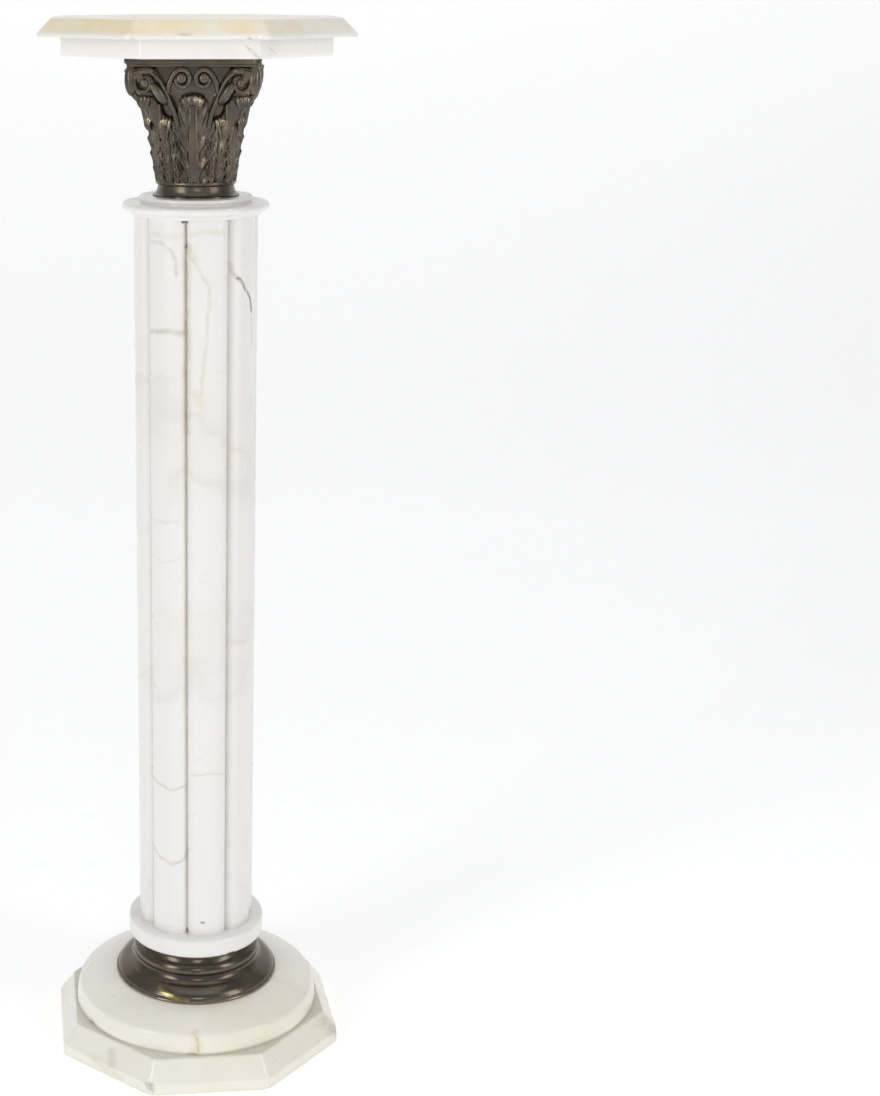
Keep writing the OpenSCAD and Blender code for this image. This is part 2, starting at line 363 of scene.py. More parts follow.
# %% The two plans
ROUND = np.radians(np.arange(0, 360, 1.5))
ROUND_PLAN = np.ones(len(ROUND))
EIGHT = octagon_angles()
EIGHT_PLAN = octagon_plan(EIGHT)
print("octagon plan", round(float(EIGHT_PLAN.min()), 4), "to", round(float(EIGHT_PLAN.max()), 4))

# %% [markdown]
# ## Plinth and step
# The plinth is a thick octagonal slab: a plain upright edge, then a broad bevel up to the round
# step that stands on it. It stands on the floor and takes every knock, so it has the most chips.

# %% Plinth
plinth_line = finer(eased([(0, 0), (152.5, 0, 1.2), (152.5, 12.5, 1.2), (136.5, PLINTH_TOP, 0.8),
                           (0, PLINTH_TOP)]), 2.5)
# a flake is its angle, radius, height, tip, reach and depth
plinth_flakes = [(-33, 158, 0, -40, 8, 1.6), (-40, 158, 14, 42, 9, 1.6), (-37, 156, 22, 50, 7, 1.5),
                 (-46, 156, 0, -45, 10, 1.8), (-18.4, 165, 9, 10, 7, 3.0), (-18, 164, 13, 30, 6, 1.6),
                 (26, 164, 0, -20, 6, 1.4), (71, 164, 13, 35, 13, 3.4), (66, 160, 16, 45, 9, 1.6),
                 (9, 153, 0, -45, 7, 1.0), (112, 163, 2, -25, 9, 2.5), (160, 161, 13, 38, 7, 2.0),
                 (-110, 163, 13, 30, 8, 2.2), (-63, 165, 6, 0, 8, 1.8), (200, 161, 0, -45, 9, 2.4),
                 (250, 156, 13, 40, 7, 1.6)]
plinth = slab_piece("marble_plinth", plinth_line, EIGHT + math.radians(PLINTH_TURN), EIGHT_PLAN,
                    plinth_flakes, wobble=0.002)
print("plinth:", len(plinth.data.vertices), "points")

# %% Step
BEND = 56     # height at which the step's side turns into its sloping top
side = [(134.4 - 4.0 * t * t, PLINTH_TOP + (BEND - PLINTH_TOP) * t) for t in np.linspace(0, 1, 7)]
slope = [(130.4 - 38.4 * t, BEND + (STEP_TOP - BEND) * (1 - (1 - t) ** 1.5))
         for t in np.linspace(0, 1, 13)]
step_line = finer(eased([(0, PLINTH_TOP), *side[:-1], (*side[-1], 2.2), *slope[1:],
                         (0, STEP_TOP)]), 3.0)
step_flakes = [(-3, 134, 36, -10, 6, 1.2), (1, 133, 44, 0, 5, 0.5), (-60, 134, 36, -20, 6, 1.0),
               (38, 130, 56, 40, 7, 1.0), (150, 131, 56, 40, 8, 1.4), (-130, 134, 36, -10, 7, 1.2)]
plinth_step = slab_piece("marble_step", step_line, ROUND, ROUND_PLAN, step_flakes)
print("step:", len(plinth_step.data.vertices), "points")

# %% [markdown]
# ## Collars
# The lower collar is a plain ring. The upper one is moulded: a hollow, a rounded rim, and over
# it a sunk line and a thin fillet that carries the capital.

# %% Collars
low_line = finer(eased([(0, RING_TOP), (74.5, RING_TOP, 3.2), (74.5, SHAFT_FOOT, 3.2),
                        (0, SHAFT_FOOT)]), 3.0)
lower_collar = slab_piece("marble_lower_collar", low_line, ROUND, ROUND_PLAN,
                          [(-40, 73.5, 136, 40, 5, 0.6), (30, 73.5, 118, -40, 5, 0.6)])
up_line = [(0, SHAFT_HEAD), (65, SHAFT_HEAD)]
up_line += arc(69.9, SHAFT_HEAD, 4.9, 4.5, 180, 90, 6)[1:]
up_line += arc(69.9, 919.3, 3.8, 3.8, -80, 90, 12)
up_line += [(69.0, 923.1), (60, 923.4), (54.9, 923.5), (54.5, 923.9), (54.5, 924.9), (56.0, 925.3),
            (56.5, 925.9), (56.5, 928.2), (55.8, CAP_FOOT), (0, CAP_FOOT)]
upper_collar = slab_piece("marble_upper_collar", finer(np.array(up_line), 3.0), ROUND, ROUND_PLAN,
                          [(25, 73.6, 919, 20, 4, 0.6)])
print("collars:", len(lower_collar.data.vertices), len(upper_collar.data.vertices), "points")

# %% [markdown]
# ## Bed slab and top
# Two octagonal slabs. The top has a thin upright edge and a wide bevel, and small chips along
# the arris under it.

# %% Bed slab and top
bed_line = finer(eased([(0, BED_FOOT), (130, BED_FOOT, 3.4), (130, TOP_FOOT, 0.8),
                        (0, TOP_FOOT)]), 3.0)
bed_slab = slab_piece("marble_bed_slab", bed_line, EIGHT, EIGHT_PLAN,
                      [(22, 140, 1067, -30, 7, 1.4), (-66, 140, 1069, -20, 6, 1.0)], wobble=0.0015)
top_line = finer(eased([(0, TOP_FOOT), (152, TOP_FOOT, 0.8), (152, 1086, 1.0),
                        (138.5, TOP_FACE, 1.0), (0, TOP_FACE)]), 2.5)
top_flakes = [(17, 157, 1085, -30, 4.5, 1.3), (19, 160, 1086, 0, 4, 1.2),
              (-3, 152, 1086.5, 40, 3.5, 0.8), (-22, 163, 1086, 10, 6, 1.8),
              (67, 163, 1086, 10, 6, 1.6), (140, 158, 1086, 20, 6, 1.6),
              (-120, 158, 1086, 20, 6, 1.6), (200, 160, 1086, 20, 6, 1.6)]
top_slab = slab_piece("marble_top", top_line, EIGHT, EIGHT_PLAN, top_flakes, wobble=0.0015)
print("slabs:", len(bed_slab.data.vertices), len(top_slab.data.vertices), "points")

# %% [markdown]
# ## The reeded shaft
# The shaft's plan follows a rule: from a plain circle, each of eight reeds falls away towards
# the grooves beside it by a power of the distance from its middle. A rule like that suits
# Geometry Nodes: a cylinder's points are moved in or out, and the sizes stay as named inputs.

# %% Geometry Nodes helpers
def node_tool(name, inputs):
    """An empty Geometry Nodes tool with named inputs; returns its tree and its input values."""
    group = bpy.data.node_groups.new(name, "GeometryNodeTree")
    tree = Tree(group)
    group.interface.new_socket("Geometry", in_out="INPUT", socket_type="NodeSocketGeometry")
    for label, kind in inputs:
        group.interface.new_socket(label, in_out="INPUT", socket_type="NodeSocket" + kind)
    group.interface.new_socket("Geometry", in_out="OUTPUT", socket_type="NodeSocketGeometry")
    start = group.nodes.new("NodeGroupInput")
    return tree, {s.name: Value(tree, s) for s in start.outputs if s.name}


def node_result(tree, geometry, material):
    """Ends a tool: real geometry, one material, out."""
    real = tree.make("GeometryNodeRealizeInstances", {}, geometry)
    painted = tree.make("GeometryNodeSetMaterial", {}, real, Material=material)
    end = tree.tree.nodes.new("NodeGroupOutput")
    painted.into(end, "Geometry")
    return tree.tree


def grown(name, group, mesh, settings, crease):
    """Runs a tool on a mesh with the given settings and keeps the result as a plain mesh."""
    obj = bpy.data.objects.new(name + "_seed", mesh)
    bpy.context.collection.objects.link(obj)
    modifier = obj.modifiers.new("grow", "NODES")
    modifier.node_group = group
    for item in group.interface.items_tree:
        if item.item_type == "SOCKET" and item.in_out == "INPUT" and item.name in settings:
            modifier[item.identifier] = settings[item.name]
    graph = bpy.context.evaluated_depsgraph_get()
    result = bpy.data.meshes.new_from_object(obj.evaluated_get(graph), depsgraph=graph)
    obj.modifiers.clear()
    bpy.data.objects.remove(obj)
    result.name = name
    return finished(name, result, crease)


print("geometry node helpers ready")

# %% The shaft tool
def shaft_tool():
    """A cylinder whose points are drawn in towards the grooves between the reeds."""
    tree, size = node_tool("reeded_shaft", [
        ("Radius", "Float"), ("Length", "Float"), ("Foot", "Float"), ("Reeds", "Float"),
        ("Groove Depth", "Float"), ("Flatness", "Float"), ("Turn", "Float"),
        ("Points Round", "Int"), ("Rows", "Int"), ("Material", "Material")])
    rod = tree.make("GeometryNodeMeshCylinder", {"fill_type": "NGON"},
                    Vertices=size["Points Round"], Side_Segments=size["Rows"],
                    Radius=size["Radius"], Depth=size["Length"], out="Mesh")
    place = tree.make("GeometryNodeInputPosition")
    x = tree.make("ShaderNodeSeparateXYZ", {}, place)
    y, z = x.other("Y"), x.other("Z")
    share = y.maths("ARCTAN2", x) / (2 * math.pi) * size["Reeds"]
    from_middle = abs(share.maths("FRACT") - 0.5) * 2
    radius = size["Radius"] - size["Groove Depth"] * from_middle ** size["Flatness"]
    grow = radius / size["Radius"]
    new_place = tree.make("ShaderNodeCombineXYZ", {}, x * grow, y * grow,
                          z + size["Length"] * 0.5 + size["Foot"])
    moved = tree.make("GeometryNodeSetPosition", {}, rod, Position=new_place)
    spin = tree.make("ShaderNodeCombineXYZ", {}, 0.0, 0.0, size["Turn"])
    turned = tree.make("GeometryNodeTransform", {}, moved, Rotation=spin)
    return node_result(tree, turned, size["Material"])


print("shaft tool ready")

# %% [markdown]
# ## White veined marble
# Polished marble is almost white, warmed by broad clouds and crossed by fine veins. Veins are
# the thin places where a warped noise passes through its middle value, so they branch and fade
# as real ones do. The column's own marks, such as the brown vein near the top of one reed, are
# strokes laid round the axis by angle and height, and a finer noise bends and wears them.

# %% Strokes
def new_material(name):
    """A new material, its tree, its shader, and the place on the object in metres."""
    material = bpy.data.materials.new(name)
    material.use_nodes = True
    tree = Tree(material.node_tree)
    shader = material.node_tree.nodes["Principled BSDF"]
    return material, tree, shader, tree.make("ShaderNodeTexCoord", out="Object")


def unrolled(tree, place):
    """Degrees round the axis from -Y towards +X, and height in mm."""
    x = tree.make("ShaderNodeSeparateXYZ", {}, place)
    y, z = x.other("Y"), x.other("Z")
    return x.maths("ARCTAN2", 0 - y) * (180 / math.pi), z * 1000


def stroke(across, height, start, end, half, soft=1.0):
    """1 on the line from start to end, each (degrees across, mm up), and 0 past half from it.
    soft is the share of half over which it fades. On the shaft a degree is about 1 mm."""
    (x0, z0), (x1, z1) = start, end
    dx, dz = x1 - x0, z1 - z0
    length = dx * dx + dz * dz
    u, v = across - x0, height - z0
    t = (u * (dx / length) + v * (dz / length)).maths("MAXIMUM", 0).maths("MINIMUM", 1)
    du, dv = u - t * dx, v - t * dz
    far = (du * du + dv * dv) ** 0.5
    return 1 - far.rise(half * (1 - soft), half)


print("stroke ready")

# %% Marble
MARK_TURN = 2.0     # the marks' angles are counted from here, in degrees from -Y
MARK_SPREAD = 1.3   # grain wears a mark's sides away, so it is laid this much wider


def marble(name, white, cloud, vein, cloudiness, veining, marks=(), extra=None):
    """A polished marble. marks are strokes: colour, strength, half width, softness, points."""
    material, tree, shader, place = new_material(name)
    swirl = tree.noise(place, 11.0, 4.0, 0.55, out="Color")
    drift = tree.vector("SCALE", tree.vector("SUBTRACT", swirl, (0.5, 0.5, 0.5)), Scale=0.09)
    warped = tree.vector("ADD", place, drift)
    broad = tree.noise(warped, 7.0, 4.0, 0.55).rise(0.42, 0.72)
    fine = tree.noise(place, 60.0, 5.0, 0.65)
    colour = tree.mix(broad * cloudiness + (fine - 0.5) * 0.12, white, cloud)
    patch = tree.noise(place, 5.0, 2.0).rise(0.40, 0.62)
    line = abs(tree.noise(warped, 4.2, 3.0, 0.5) - 0.5)
    hair = 1 - line.rise(0.0, 0.020)
    halo = 1 - line.rise(0.0, 0.080)
    colour = tree.mix(halo * patch * (0.22 * veining), colour, vein)
    colour = tree.mix(hair * patch * (0.40 * veining), colour, vein)
    if marks:
        angle, height = unrolled(tree, place)
        wave = tree.noise(place, 38.0, 3.0, 0.6, out="Color")
        wave = tree.make("ShaderNodeSeparateXYZ", {}, wave)
        across = angle - MARK_TURN + (wave - 0.5) * 7
        height = height + (wave.other("Y") - 0.5) * 11
        grain = tree.noise(place, 150.0, 4.0, 0.7).rise(0.30, 0.62)
        for tint, strength, half, soft, points in marks:
            mask = None
            for start, end in zip(points, points[1:]):
                part = stroke(across, height, start, end, half * MARK_SPREAD, soft)
                mask = part if mask is None else mask.maths("MAXIMUM", part)
            colour = tree.mix(mask * (grain * 0.6 + 0.4) * strength, colour, tint)
    if extra:
        colour = extra(tree, place, colour)
    colour.into(shader, "Base Color")
    rough = 0.24 + tree.noise(place, 30.0, 3.0) * 0.10 + hair * 0.10
    rough.into(shader, "Roughness")
    pits = tree.noise(place, 260.0, 2.0, 0.5) * 0.4 + tree.noise(place, 45.0, 2.0, 0.5)
    bump = tree.make("ShaderNodeBump", {}, Strength=0.05, Distance=0.001, Height=pits)
    bump.into(shader, "Normal")
    shader.inputs["Specular IOR Level"].default_value = 0.5
    shader.inputs["Coat Weight"].default_value = 0.25
    shader.inputs["Coat Roughness"].default_value = 0.12
    return material


WHITE, WARM = (0.850, 0.838, 0.818), (0.85, 0.80, 0.70)
BROWN, GREY = (0.52, 0.46, 0.33), (0.55, 0.52, 0.47)
marble_collar = marble("marble_collar", WHITE, WARM, GREY, 0.30, 0.35)
print("marble for the collars ready")

# %% The shaft's marks
shaft_marks = [
    ((0.56, 0.48, 0.34), 0.55, 2.4, 1.0, [(33, 868), (35, 860), (40, 852)]),
    ((0.20, 0.15, 0.10), 0.90, 1.8, 0.8, [(40, 853), (46, 844), (55, 830), (60, 816)]),
    ((0.50, 0.46, 0.36), 0.50, 1.6, 1.0, [(60, 816), (61, 800), (60, 780)]),
    ((0.50, 0.46, 0.31), 0.42, 5.0, 1.0, [(-12.0, 886), (-12.2, 770), (-12.4, 700)]),
    ((0.50, 0.46, 0.32), 0.34, 2.6, 1.0, [(-13.2, 880), (-13.3, 640)]),
    ((0.56, 0.52, 0.40), 0.22, 2.6, 1.0, [(-13.3, 640), (-13.3, 150)]),
    ((0.62, 0.60, 0.36), 0.50, 6.0, 1.0, [(-9.5, 884), (-4, 872)]),
    ((0.09, 0.08, 0.07), 0.95, 1.8, 0.5, [(-15.0, 908), (-11.5, 908)]),
    ((0.16, 0.14, 0.12), 0.80, 0.8, 0.8, [(-13.4, 907), (-13.5, 888)]),
    ((0.12, 0.10, 0.09), 0.90, 1.3, 0.6, [(-13.6, 887), (-13.4, 885)]),
    ((0.66, 0.59, 0.42), 0.30, 4.0, 1.0, [(-46, 896), (-30, 893), (-16, 896), (8, 900), (22, 898)]),
    ((0.56, 0.50, 0.40), 0.45, 2.0, 0.9, [(-48, 888), (-36, 888), (-26.5, 882), (-20.8, 871),
                                          (-22.5, 857)]),
    ((0.64, 0.57, 0.44), 0.38, 2.4, 0.9, [(-6, 872), (0, 860), (8, 847), (9, 828), (7, 800),
                                          (3, 765), (2, 740)]),
    ((0.52, 0.47, 0.34), 0.68, 4.0, 1.0, [(-50, 799), (-32, 799), (-14, 800)]),
    ((0.72, 0.64, 0.40), 0.40, 6.0, 1.0, [(-4, 742), (2, 730)]),
    ((0.62, 0.55, 0.42), 0.30, 1.6, 1.0, [(-52, 606), (-36, 602), (-18, 609)]),
    ((0.62, 0.55, 0.42), 0.26, 1.6, 1.0, [(-50, 565), (-34, 562), (-20, 567)]),
    ((0.62, 0.54, 0.42), 0.34, 4.0, 1.0, [(-56, 424), (-47, 422)]),
    ((0.66, 0.59, 0.46), 0.32, 5.0, 1.0, [(34, 473), (50, 468)]),
    ((0.58, 0.51, 0.37), 0.50, 2.0, 0.9, [(-60, 324), (-46, 313), (-30, 309), (-14, 313)]),
    ((0.56, 0.49, 0.35), 0.55, 2.1, 0.9, [(-53, 238), (-42, 226), (-28, 221), (-16, 229), (-12, 241)]),
    ((0.64, 0.56, 0.44), 0.40, 1.5, 1.0, [(-8, 328), (10, 331), (26, 326)]),
    ((0.25, 0.20, 0.15), 0.80, 1.7, 0.6, [(2, 154), (4, 153)]),
    ((0.25, 0.20, 0.15), 0.80, 1.9, 0.7, [(-12.9, 143), (-12.9, 139)]),
    ((0.50, 0.42, 0.30), 0.55, 1.5, 0.9, [(128, 840), (140, 815), (150, 770), (147, 730)]),
    ((0.58, 0.50, 0.36), 0.45, 1.6, 1.0, [(-150, 520), (-165, 505), (-178, 515)]),
    ((0.54, 0.45, 0.32), 0.50, 1.4, 1.0, [(100, 300), (112, 318), (124, 310), (135, 322)]),
    ((0.54, 0.45, 0.32), 0.45, 1.6, 1.0, [(-100, 700), (-112, 680), (-120, 650), (-118, 610)]),
]


def groove_shade_foot_tint(tree, place, colour):
    """A thin grey-olive line of painted shade in every groove, uneven along its length, and a
    grey-olive tint darkening the shaft towards its foot.
    """
    angle, height = unrolled(tree, place)
    share = ((angle - SHAFT_TURN) / (360 / REEDS) + (REEDS + 0.5)).maths("FRACT")
    # painted shade: the crease of every groove is darkened with a grey-olive line
    groove = 1 - share.maths("MINIMUM", abs(share - 1)).rise(0.0, 0.055)
    uneven = tree.noise(place, 9.0, 4.0, 0.6).rise(0.25, 0.75) * 0.40 + 0.12
    colour = tree.mix(groove * uneven, colour, (0.56, 0.51, 0.40))
    foot = 1 - height.rise(SHAFT_FOOT, SHAFT_FOOT + 13)
    return tree.mix(foot * tree.noise(place, 60.0, 3.0, 0.6) * 0.35, colour, (0.60, 0.56, 0.44))


marble_white = marble("marble_white", WHITE, WARM, BROWN, 0.40, 0.30, shaft_marks, groove_shade_foot_tint)
print("shaft marble ready,", len(shaft_marks), "marks")

# %% The cream marble of the plinth and step
base_marks = [
    ((0.70, 0.58, 0.30), 0.55, 3.4, 1.0, [(-3.5, 57), (-2.8, 46), (-4, 36)]),
    ((0.45, 0.37, 0.24), 0.45, 0.9, 0.8, [(-3.4, 54), (-2.6, 44), (-3, 37)]),
    ((0.56, 0.53, 0.40), 0.50, 6.5, 1.0, [(67, 27), (71, 10)]),
    ((0.60, 0.57, 0.48), 0.50, 3.2, 1.0, [(-42, 25), (-40, 14)]),
    ((0.42, 0.39, 0.32), 0.60, 2.2, 0.8, [(-21, 13), (-21, 8)]),
    ((0.64, 0.57, 0.42), 0.35, 6.0, 1.0, [(-50, 12), (-38, 6)]),
]


def joint_shade_low_tint(tree, place, colour):
    """Painted shade where the step meets the plinth, and a grey-olive tint darkening the plinth along
    the floor.
    """
    height = tree.make("ShaderNodeSeparateXYZ", {}, place).other("Z") * 1000
    # painted shade along the joint of the step and the plinth
    near = 1 - abs(height - (PLINTH_TOP + 0.8)).rise(0.2, 3.4)
    low = 1 - height.rise(0.0, 5.0)
    uneven = tree.noise(place, 18.0, 4.0, 0.6).rise(0.2, 0.8) * 0.5 + 0.45
    colour = tree.mix(near * uneven * 0.8, colour, (0.46, 0.43, 0.33))
    return tree.mix(low * uneven * 0.35, colour, (0.55, 0.51, 0.42))


marble_base = marble("marble_cream", (0.885, 0.857, 0.772), (0.85, 0.785, 0.63), BROWN, 0.80, 0.25,
                     base_marks, joint_shade_low_tint)
print("base marble ready,", len(base_marks), "marks")

# %% The ochre marble of the slabs
def bevel_ochre(tree, place, colour):
    """Ochre clouding on the bevel and the flat top, with none below the bevel."""
    height = tree.make("ShaderNodeSeparateXYZ", {}, place).other("Z") * 1000
    cloud = tree.noise(place, 16.0, 4.0, 0.6).rise(0.30, 0.62)
    above = height.rise(1085.5, 1090.0)
    shade = tree.noise(place, 40.0, 4.0, 0.6).rise(0.3, 0.7)
    ochre = tree.mix(shade, (0.86, 0.70, 0.40), (0.84, 0.76, 0.56))
    return tree.mix(above * (cloud * 0.75 + 0.15), colour, ochre)


top_marks = [
    ((0.36, 0.34, 0.28), 0.75, 2.2, 0.8, [(-7.5, 1089), (-7.2, 1088)]),
    ((0.50, 0.42, 0.34), 0.55, 0.8, 0.9, [(16, 1078), (19, 1070), (21, 1066)]),
    ((0.50, 0.42, 0.34), 0.50, 0.7, 0.9, [(26, 1074), (30, 1070)]),
]
marble_top = marble("marble_ochre_top", (0.87, 0.85, 0.80), (0.85, 0.79, 0.66), BROWN, 0.45, 0.25,
                    top_marks, bevel_ochre)
marble_bed = marble("marble_bed", (0.88, 0.865, 0.83), WARM, BROWN, 0.35, 0.30, top_marks)
print("marbles:", [m.name for m in bpy.data.materials if m.name.startswith("marble")])

# %% Cut the shaft and finish the marble pieces
# a reed's middle stands at SHAFT_TURN from -Y, and the tool itself starts in a groove, at +X
shaft = grown("marble_shaft", shaft_tool(), bpy.data.meshes.new("shaft_seed"), {
    "Radius": 62.5 * MM, "Length": (SHAFT_HEAD - SHAFT_FOOT) * MM, "Foot": SHAFT_FOOT * MM,
    "Reeds": float(REEDS), "Groove Depth": 8.5 * MM, "Flatness": 5.0,
    "Turn": math.radians(SHAFT_TURN - 90 + 180 / REEDS), "Points Round": 384, "Rows": 48,
    "Material": marble_white}, crease=50)
for piece, material in ((plinth, marble_base), (plinth_step, marble_base),
                        (lower_collar, marble_collar), (upper_collar, marble_collar),
                        (bed_slab, marble_bed), (top_slab, marble_top)):
    piece.data.materials.append(material)
print("shaft:", len(shaft.data.vertices), "points")

# %% [markdown]
# ## Cast and patinated bronze
# The bronze was darkened with a brown patina and has been rubbed bright wherever a hand or a cloth
# reaches: on leaf curls, scroll edges and mouldings. Each piece stores how exposed each point is in an
# attribute, worked out from the same formulas that shape it, and the material mixes dark patina and
# bare metal by it. That value also carries painted light. Where it is raised it paints highlights on
# the ring and the leaf hoods. At its lowest it paints near-black shade: behind the scrolls, under the
# abacus, under the leaf tips and in the leaves' ditches.

# %% Bronze
def bronze(name, smooth=0.0, marks=()):
    """Patinated bronze; smooth is 1 for turned work and 0 for a chased casting. marks are
    strokes: colour, strength, half width, points."""
    material, tree, shader, place = new_material(name)
    rubbed = tree.make("ShaderNodeAttribute", {"attribute_name": "rubbed"}, out="Fac")
    mottle = tree.noise(place, 110.0, 5.0, 0.62)
    broad = tree.noise(place, 26.0, 3.0, 0.55)
    dark = tree.mix(broad.rise(0.38, 0.62), (0.098, 0.078, 0.060), (0.140, 0.112, 0.082))
    dark = tree.mix(mottle.rise(0.48, 0.66) * 0.7, dark, (0.098, 0.102, 0.072))
    slate = tree.noise(place, 44.0, 3.0, 0.5).rise(0.52, 0.68)
    dark = tree.mix(slate * 0.65, dark, (0.092, 0.098, 0.088))
    gold = tree.mix(mottle.rise(0.35, 0.65), (0.30, 0.23, 0.145), (0.46, 0.38, 0.26))
    uneven = ((mottle - 0.5) * 1.3 + (broad - 0.5) * 0.7) * (1 - 0.8 * smooth)
    # gold where the stored value is high: wear, and painted highlights where that value was raised for
    # them
    gold_wear_and_highlight = (rubbed * 1.2 + uneven - 0.38).rise(0.05, 0.85)
    colour = tree.mix(gold_wear_and_highlight, dark, gold)
    # painted shade: where the stored value is under 0.1, in hidden places, the colour is pulled
    # towards near-black
    painted_recess_shade = (1 - rubbed.rise(0.0, 0.10)) * 0.35
    colour = tree.mix(painted_recess_shade, colour, (0.038, 0.034, 0.029))
    if marks:
        angle, height = unrolled(tree, place)
        across = angle + (broad - 0.5) * 9
        height = height + (mottle - 0.5) * 4
        grain = mottle.rise(0.3, 0.6) * 0.5 + 0.5
        for tint, strength, half, points in marks:
            for start, end in zip(points, points[1:]):
                part = stroke(across, height, start, end, half)
                colour = tree.mix(part * grain * strength, colour, tint)
    colour.into(shader, "Base Color")
    rough = (0.29 - 0.07 * smooth) - gold_wear_and_highlight * 0.08 + (mottle - 0.5) * (0.16 - 0.10 * smooth)
    rough.into(shader, "Roughness")
    shader.inputs["Metallic"].default_value = 0.88
    grain = tree.noise(place, 420.0, 3.0, 0.6) * 0.5 + mottle
    bump = tree.make("ShaderNodeBump", {}, Strength=0.30 - 0.24 * smooth, Distance=0.001, Height=grain)
    bump.into(shader, "Normal")
    return material


def mark_rubbed(mesh, values):
    """Stores each point's value of wear and painted light, from 0 to 1: high values give wear and
    painted highlights, the lowest give painted shade.
    """
    attribute = mesh.attributes.new("rubbed", "FLOAT", "POINT")
    attribute.data.foreach_set("value", np.clip(values, 0, 1).astype(np.float32))


cast_bronze = bronze("bronze_patina")
# the ring's bronze; its two strokes on the lower bell are painted reflections, yellow-olive left of
# the front and pale brown right of it
turned_bronze = bronze("bronze_turned", 1.0, [
    ((0.42, 0.37, 0.13), 0.75, 3.2, [(-30, 80), (-20, 75), (-8, 73.5)]),
    ((0.34, 0.26, 0.19), 0.45, 2.6, [(8, 74), (24, 75)])])
print("bronze ready")

# %% [markdown]
# ## The bronze ring
# A turned ring between the step and the shaft: a thin foot, a full lower bell, a soft hollow and
# a round upper moulding. Its neck runs up under the marble collar.

# %% Ring
ring_line = [(0, STEP_TOP), (88.2, STEP_TOP)] + arc(87.75, 70.75, 1.75, 1.75, -75, 80, 8)[1:]
ring_line += arc(62, 70.6, 26.2, 16.0, 4, 54, 20)
ring_line += [(75.0, 84.3), (72.8, 85.5), (71.1, 87.0), (70.0, 88.8)]
ring_line += arc(61.4, 96.2, 8.6, 8.8, -28, 58, 22)
ring_line += [(64.4, 104.6), (62.0, 109), (61, RING_TOP), (0, RING_TOP)]
base_ring = slab_piece("bronze_ring", finer(np.array(ring_line), 2.5), ROUND, ROUND_PLAN)
spots = np.array([v.co for v in base_ring.data.vertices]) / MM
far, height = np.hypot(spots[:, 0], spots[:, 1]), spots[:, 2]
# painted highlights: the bands of gold at 85 mm, on the bell's shoulder, and at 97.5 mm, on the upper
# moulding
ring_wear_and_highlights = (0.22 * np.exp(-((height - 85) / 2) ** 2) + 0.25 * np.exp(-((height - 97.5) / 4) ** 2)
             + 0.45 * (far > 88.9) + 0.22)
ring_wear_and_highlights[(height > 87.0) & (height < 89.4)] = 0.18
mark_rubbed(base_ring.data, ring_wear_and_highlights)
base_ring.data.materials.append(turned_bronze)
print("ring:", len(base_ring.data.vertices), "points")

# %% [markdown]
# ## The capital
# The capital is a bell wrapped in eight acanthus leaves, with smaller leaves in the gaps. Stems
# rise between the leaves and part: one branch rolls up under each corner of the abacus, the
# other towards the middle of the face. The pieces of one face are modelled once, as grids of
# points in mm, and the face is then repeated four times about the axis.

# %% Clay: grids of points gathered into one mesh
class Clay:
    """Collects closed skins, each a grid of points, with every point's value of wear and painted
    light.
    """

    def __init__(self):
        self.points, self.faces, self.rubbed, self.count = [], [], [], 0

    def skin(self, grid, rubbed):
        """A tube of closed rows: grid is rows x columns x 3. Both ends are capped."""
        rows, columns = grid.shape[:2]
        base = self.count
        ends = np.stack([grid[0].mean(0), grid[-1].mean(0)])
        self.points += [grid.reshape(-1, 3), ends]
        self.rubbed += [np.broadcast_to(rubbed, (rows, columns)).reshape(-1),
                        np.array([np.mean(rubbed)] * 2)]
        i, k = np.meshgrid(np.arange(rows - 1), np.arange(columns), indexing="ij")
        j = (k + 1) % columns
        quads = np.stack([i * columns + k, i * columns + j, (i + 1) * columns + j,
                          (i + 1) * columns + k], -1).reshape(-1, 4) + base
        first, last = base + rows * columns, base + rows * columns + 1
        k = np.arange(columns)
        j = (k + 1) % columns
        low = np.stack([np.full(columns, first), base + j, base + k], -1)
        high = np.stack([np.full(columns, last), base + (rows - 1) * columns + k,
                         base + (rows - 1) * columns + j], -1)
        self.faces += quads.tolist() + low.tolist() + high.tolist()
        self.count += rows * columns + 2

    def mesh(self, name):
        mesh = bpy.data.meshes.new(name)
        mesh.from_pydata((np.vstack(self.points) * MM).tolist(), [], self.faces)
        mark_rubbed(mesh, np.concatenate(self.rubbed))
        return mesh


print("clay ready")

# %% Smooth lines
def along(path, n):
    """The path resampled to n evenly spaced points."""
    path = np.asarray(path, float)
    step = np.linalg.norm(np.diff(path, axis=0), axis=1)
    run = np.concatenate([[0], np.cumsum(step)])
    want = np.linspace(0, run[-1], n)
    return np.stack([np.interp(want, run, path[:, c]) for c in range(path.shape[1])], 1)


def curve(points, n):
    """A smooth line through a few points (Catmull-Rom), n points long."""
    p = np.asarray(points, float)
    p = np.vstack([2 * p[0] - p[1], p, 2 * p[-1] - p[-2]])
    out = []
    for a, b, c, d in zip(p, p[1:], p[2:], p[3:]):
        for t in np.linspace(0, 1, 12, endpoint=False):
            out.append(0.5 * (2 * b + (c - a) * t + (2 * a - 5 * b + 4 * c - d) * t ** 2
                              + (3 * b - a - 3 * c + d) * t ** 3))
    out.append(p[-2])
    return along(out, n)


print("smooth lines ready")

